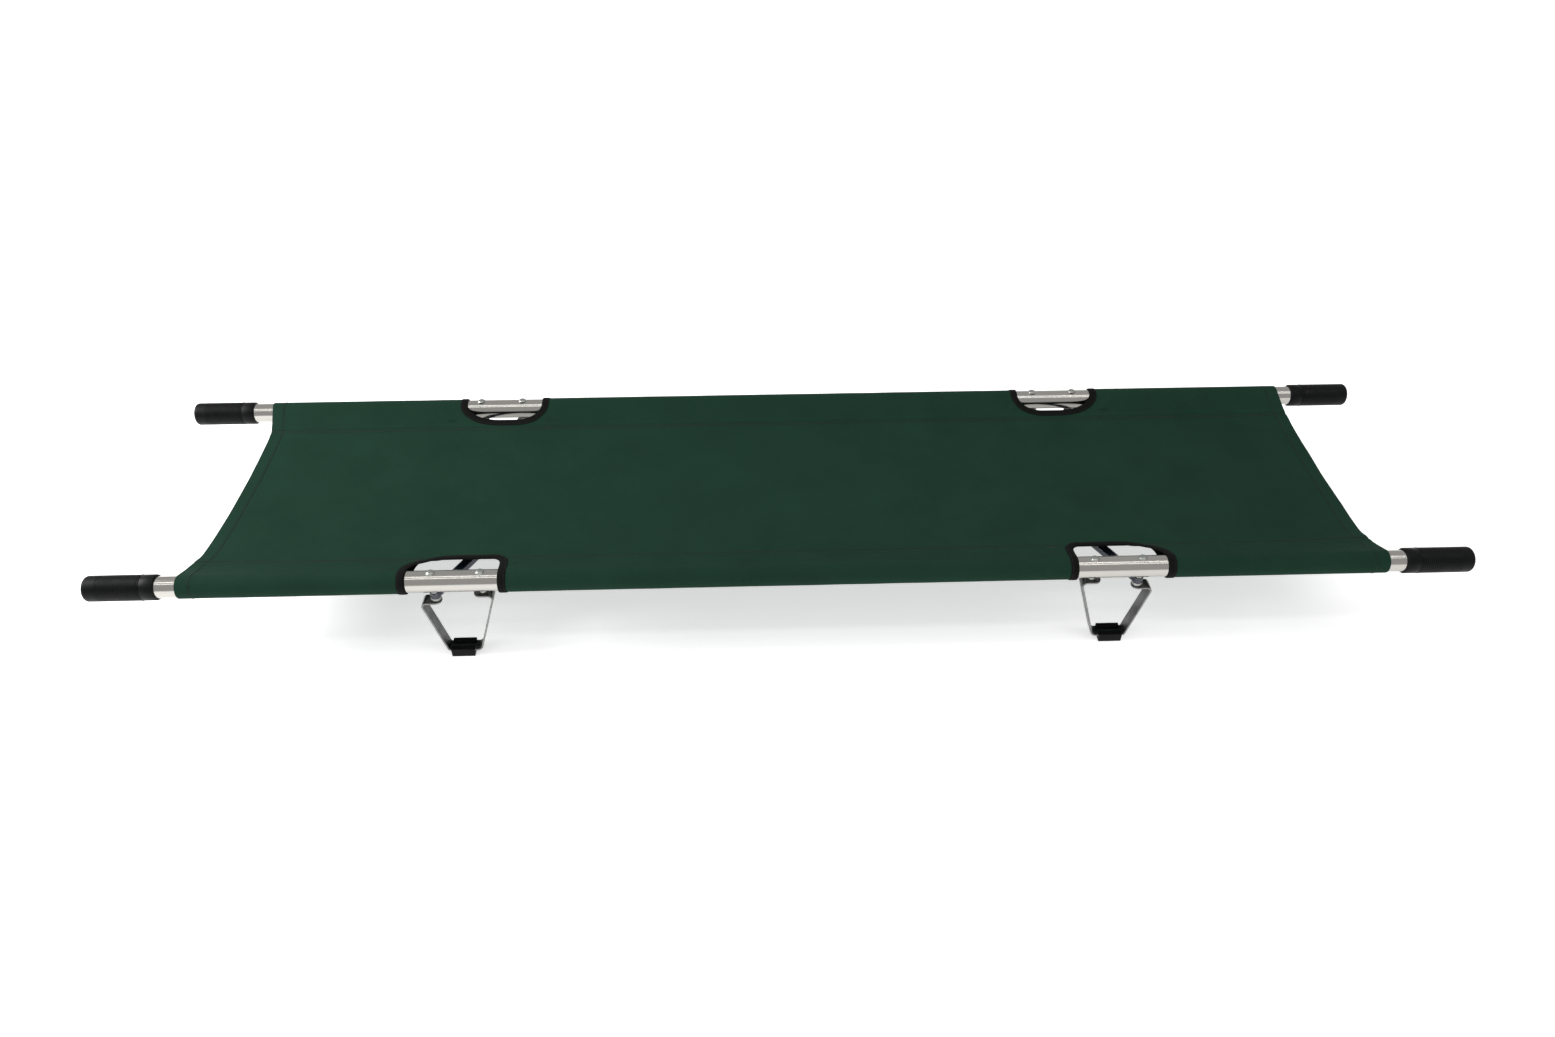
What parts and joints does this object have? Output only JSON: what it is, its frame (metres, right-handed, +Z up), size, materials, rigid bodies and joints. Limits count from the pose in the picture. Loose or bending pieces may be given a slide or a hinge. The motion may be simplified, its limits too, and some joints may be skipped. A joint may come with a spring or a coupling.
{
  "type": "folding cot",
  "caption": "Folding canvas cot: two long aluminium poles with rubber grips in a sewn canvas deck, strap feet, and jointed spreader arms that fold it narrow.",
  "frame": {"origin": "on the floor, below the middle of the deck", "axes": "+X along the poles, +Y across the deck, +Z up"},
  "size_m": [2.2, 0.5322, 0.1752],
  "materials": {
    "aluminium_tube": "drawn and bright",
    "grip_rubber": "fine rings, matt",
    "zinc_steel": "zinc plated",
    "arm_paint": "dark blue-black, worn to bright edges",
    "green_canvas": "plain weave, coated",
    "black_tape": "woven edge tape",
    "pad_rubber": "moulded, matt"
  },
  "bodies": {
    "near_side": {"deck": "green_canvas", "edge_tape_near_left": "black_tape", "edge_tape_near_right": "black_tape", "foot_bolt_near_left": "zinc_steel", "foot_bolt_near_right": "zinc_steel", "foot_near_left": "zinc_steel", "foot_near_right": "zinc_steel", "foot_nut_near_left": "zinc_steel", "foot_nut_near_right": "zinc_steel", "foot_pad_near_left": "pad_rubber", "foot_pad_near_right": "pad_rubber", "foot_spacer_near_left": "zinc_steel", "foot_spacer_near_right": "zinc_steel", "grip_near_left": "grip_rubber", "grip_near_right": "grip_rubber", "pivot_bolt_near_left": "zinc_steel", "pivot_bolt_near_right": "zinc_steel", "pivot_collar_near_left": "zinc_steel", "pivot_collar_near_right": "zinc_steel", "pivot_nut_near_left": "zinc_steel", "pivot_nut_near_right": "zinc_steel", "pivot_washer_near_left": "zinc_steel", "pivot_washer_near_right": "zinc_steel", "pole_near": "aluminium_tube", "sleeve_near": "green_canvas"},
    "far_side": {"edge_tape_far_left": "black_tape", "edge_tape_far_right": "black_tape", "foot_bolt_far_left": "zinc_steel", "foot_bolt_far_right": "zinc_steel", "foot_far_left": "zinc_steel", "foot_far_right": "zinc_steel", "foot_nut_far_left": "zinc_steel", "foot_nut_far_right": "zinc_steel", "foot_pad_far_left": "pad_rubber", "foot_pad_far_right": "pad_rubber", "foot_spacer_far_left": "zinc_steel", "foot_spacer_far_right": "zinc_steel", "grip_far_left": "grip_rubber", "grip_far_right": "grip_rubber", "pivot_bolt_far_left": "zinc_steel", "pivot_bolt_far_right": "zinc_steel", "pivot_collar_far_left": "zinc_steel", "pivot_collar_far_right": "zinc_steel", "pivot_nut_far_left": "zinc_steel", "pivot_nut_far_right": "zinc_steel", "pivot_washer_far_left": "zinc_steel", "pivot_washer_far_right": "zinc_steel", "pole_far": "aluminium_tube", "sleeve_far": "green_canvas"},
    "arm_near_left": {"spreader_arm_near_left": "arm_paint", "elbow_rivet_left": "zinc_steel"},
    "arm_far_left": {"spreader_arm_far_left": "arm_paint"},
    "arm_near_right": {"spreader_arm_near_right": "arm_paint", "elbow_rivet_right": "zinc_steel"},
    "arm_far_right": {"spreader_arm_far_right": "arm_paint"}
  },
  "joints": [
    {"name": "fold_near_left", "type": "hinge", "parent": "near_side", "child": "arm_near_left", "pos_m": [-0.564, -0.245, 0.1277], "axis": [0, 0, -1], "range_deg": [0, 44.5], "deforming": ["deck"]},
    {"name": "elbow_left", "type": "hinge", "parent": "arm_near_left", "child": "arm_far_left", "pos_m": [-0.43646, 0, 0.1277], "axis": [0, 0, -1], "range_deg": [-89, 0]},
    {"name": "pole_pivot_far_left", "type": "hinge", "parent": "arm_far_left", "child": "far_side", "pos_m": [-0.564, 0.245, 0.1277], "axis": [0, 0, -1], "range_deg": [0, 44.5]},
    {"name": "fold_near_right", "type": "hinge", "parent": "near_side", "child": "arm_near_right", "pos_m": [0.564, -0.245, 0.1277], "axis": [0, 0, -1], "range_deg": [-44.5, 0]},
    {"name": "elbow_right", "type": "hinge", "parent": "arm_near_right", "child": "arm_far_right", "pos_m": [0.43646, 0, 0.1277], "axis": [0, 0, -1], "range_deg": [0, 89]}
  ],
  "couplings": [
    {"joint": "elbow_left", "follows": "fold_near_left", "ratio": -2},
    {"joint": "pole_pivot_far_left", "follows": "fold_near_left", "ratio": 1},
    {"joint": "fold_near_right", "follows": "fold_near_left", "ratio": -1},
    {"joint": "elbow_right", "follows": "fold_near_left", "ratio": 2}
  ]
}
